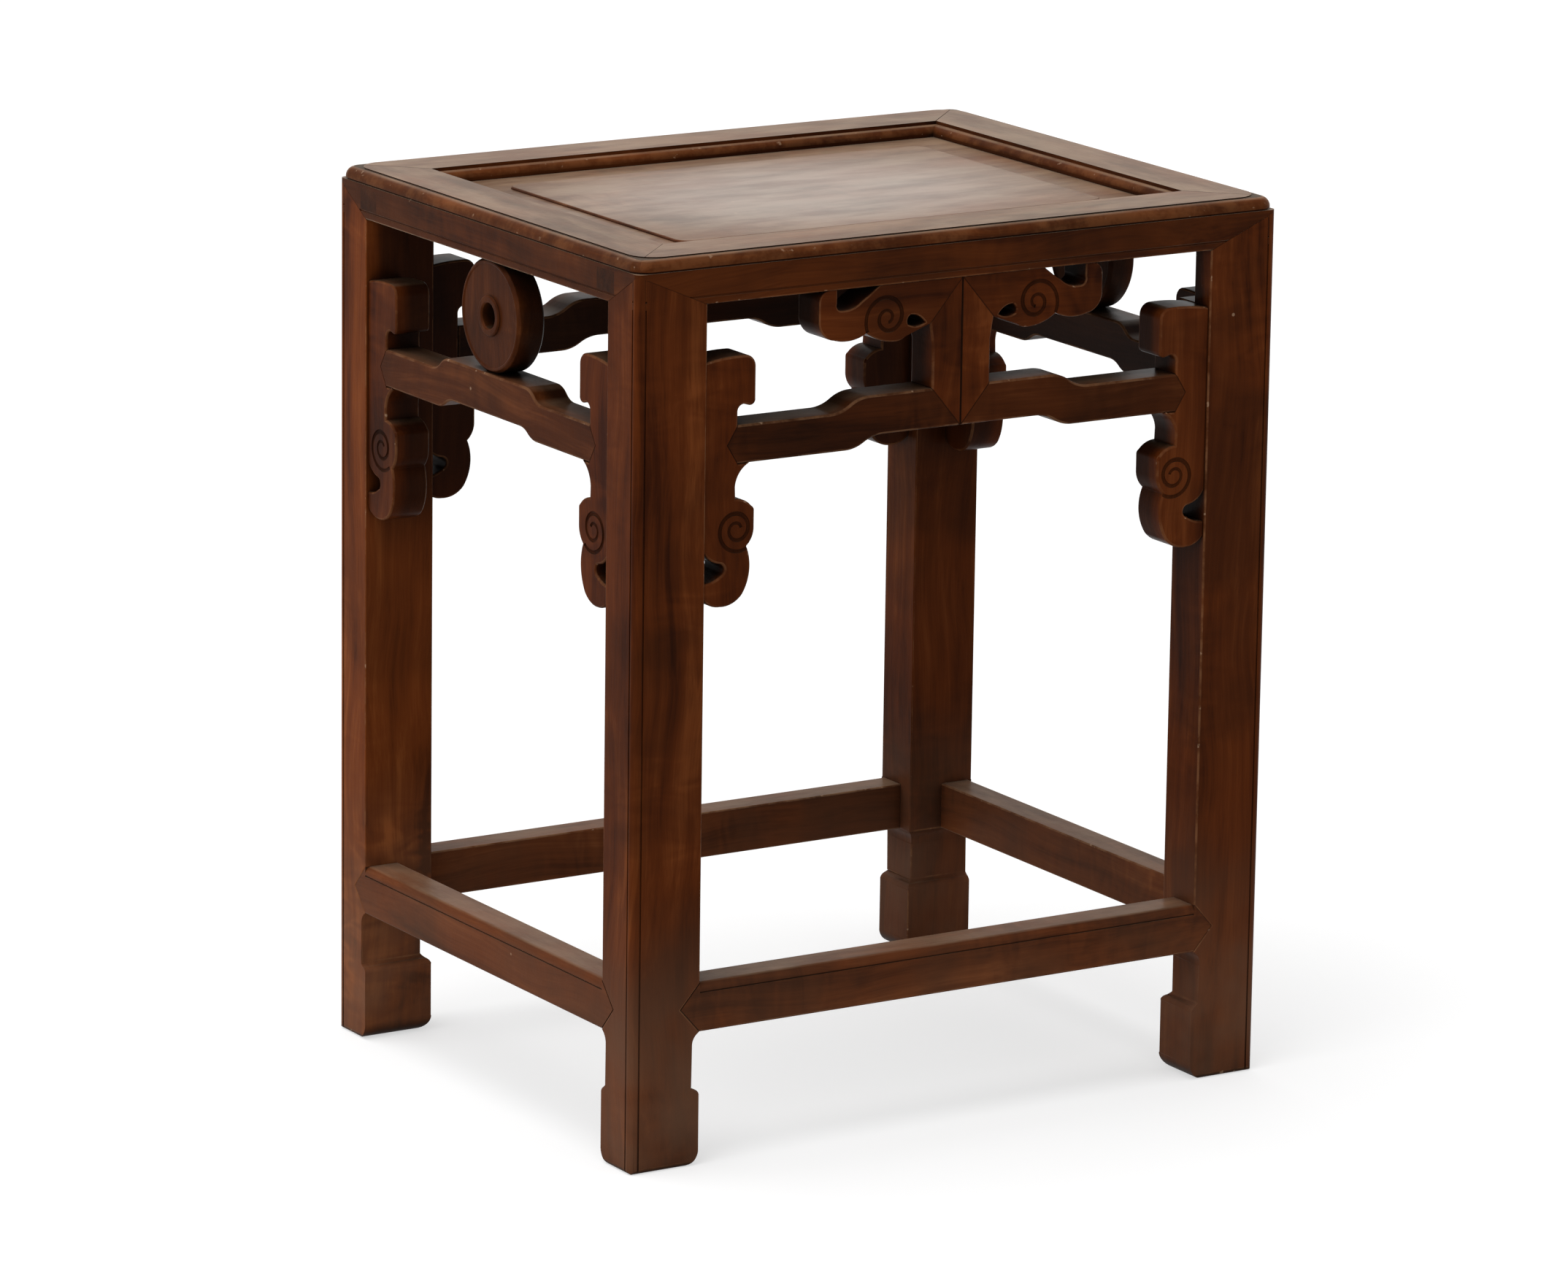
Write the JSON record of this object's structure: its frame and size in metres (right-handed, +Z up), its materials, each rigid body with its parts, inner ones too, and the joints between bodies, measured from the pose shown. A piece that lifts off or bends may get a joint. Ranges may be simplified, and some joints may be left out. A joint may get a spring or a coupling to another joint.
{
  "type": "side table",
  "caption": "Small rectangular hardwood side table: framed panel top, humped stretchers with scroll brackets and pierced roundels below it, low stretchers and block feet.",
  "frame": {"origin": "on the floor under the centre of the top", "axes": "+Z up, +X along the long sides, +Y from the front to the back"},
  "size_m": [0.408, 0.325, 0.5],
  "materials": {
    "frame_wood": "worn satin lacquer, reddish brown",
    "panel_wood": "worn satin lacquer, figured grain",
    "leg_wood": "worn satin lacquer, reddish brown",
    "stretcher_wood": "worn satin lacquer, reddish brown",
    "fretwork_wood": "worn satin lacquer, dark brown",
    "hidden_wood": "dull unpolished wood"
  },
  "bodies": {
    "root": {"back_centre_post_left": "fretwork_wood", "back_centre_post_right": "fretwork_wood", "back_cloud_bracket_left": "fretwork_wood", "back_cloud_bracket_right": "fretwork_wood", "back_hump_stretcher_left": "fretwork_wood", "back_hump_stretcher_right": "fretwork_wood", "back_scroll_bracket_left": "fretwork_wood", "back_scroll_bracket_right": "fretwork_wood", "base_stretcher_back": "stretcher_wood", "base_stretcher_front": "stretcher_wood", "base_stretcher_left": "stretcher_wood", "base_stretcher_right": "stretcher_wood", "front_centre_post_left": "fretwork_wood", "front_centre_post_right": "fretwork_wood", "front_cloud_bracket_left": "fretwork_wood", "front_cloud_bracket_right": "fretwork_wood", "front_hump_stretcher_left": "fretwork_wood", "front_hump_stretcher_right": "fretwork_wood", "front_scroll_bracket_left": "fretwork_wood", "front_scroll_bracket_right": "fretwork_wood", "left_hump_stretcher": "fretwork_wood", "left_roundel": "fretwork_wood", "left_scroll_bracket_back": "fretwork_wood", "left_scroll_bracket_front": "fretwork_wood", "leg_back_left": "leg_wood", "leg_back_right": "leg_wood", "leg_front_left": "leg_wood", "leg_front_right": "leg_wood", "panel_batten_left": "hidden_wood", "panel_batten_right": "hidden_wood", "right_hump_stretcher": "fretwork_wood", "right_roundel": "fretwork_wood", "right_scroll_bracket_back": "fretwork_wood", "right_scroll_bracket_front": "fretwork_wood", "top_panel": "panel_wood", "top_rail_back": "frame_wood", "top_rail_front": "frame_wood", "top_rail_left": "frame_wood", "top_rail_right": "frame_wood"}
  },
  "joints": []
}
